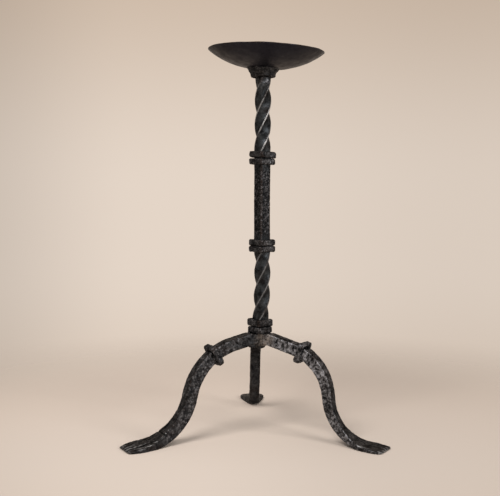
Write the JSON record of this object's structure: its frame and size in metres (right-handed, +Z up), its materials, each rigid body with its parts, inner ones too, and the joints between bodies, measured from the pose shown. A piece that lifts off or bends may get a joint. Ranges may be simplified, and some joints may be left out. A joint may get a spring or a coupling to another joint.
{
  "type": "torchere candle stand",
  "caption": "Forged iron floor candle stand: a collared, twisted square stem on S-bent splayed legs with fan feet, with a shallow dish and a pricket on top.",
  "frame": {"origin": "on the floor, under the middle of the stand's outline seen from above", "axes": "+Z up along the stem, -Y towards the viewer of the picture, +X to the viewer's right; the back leg points along +Y"},
  "size_m": [0.544, 0.5004, 0.8228],
  "materials": {
    "stem_iron": "forged, blackened and waxed, worn to bare grey along the edges of the twist",
    "leg_iron": "forged, blackened, pitted and hammer-marked, with grey wear on the high spots",
    "dish_iron": "hammered sheet, brown-black, smooth and satin"
  },
  "bodies": {
    "root": {"base_collar_lower": "stem_iron", "base_collar_upper": "stem_iron", "dish": "dish_iron", "dish_seat": "stem_iron", "hub": "leg_iron", "leg_back": "leg_iron", "leg_collar_back": "leg_iron", "leg_collar_left": "leg_iron", "leg_collar_right": "leg_iron", "leg_left": "leg_iron", "leg_right": "leg_iron", "neck_collar_lower": "stem_iron", "neck_collar_upper": "stem_iron", "pricket": "stem_iron", "stem_bar": "stem_iron", "waist_collar_lower": "stem_iron", "waist_collar_upper": "stem_iron"}
  },
  "joints": []
}
